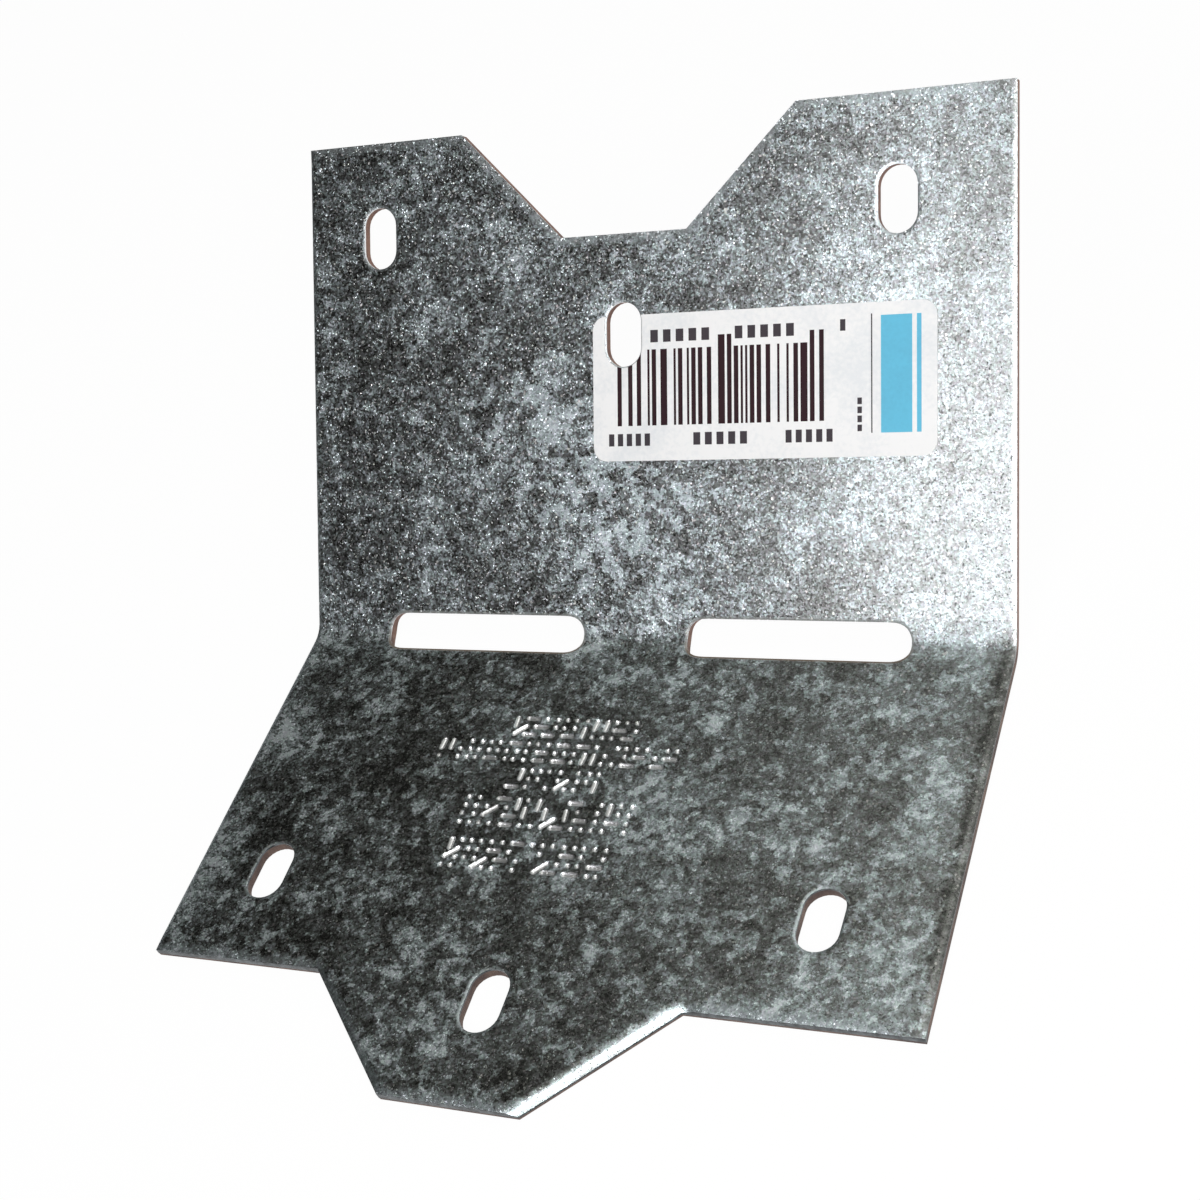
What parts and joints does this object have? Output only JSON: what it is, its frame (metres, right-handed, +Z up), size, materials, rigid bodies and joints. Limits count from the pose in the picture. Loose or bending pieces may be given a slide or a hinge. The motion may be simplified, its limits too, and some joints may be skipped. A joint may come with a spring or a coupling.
{
  "type": "skewable angle",
  "caption": "Folded galvanised steel angle with nail slots in both legs and long slots on the fold, for joining timber framing members at a skew.",
  "frame": {"origin": "middle of the fold, on the line where the flat leg's outer face runs into the bend", "axes": "+X along the fold, -Y along the flat leg away from the fold, +Z up from the flat leg, and the raised leg climbs towards +Y and +Z"},
  "size_m": [0.0856, 0.1002, 0.0423],
  "materials": {
    "galvanised_steel": "satin",
    "label_paper": "satin"
  },
  "bodies": {
    "root": {"angle_plate": "galvanised_steel", "label": "label_paper"}
  },
  "joints": []
}
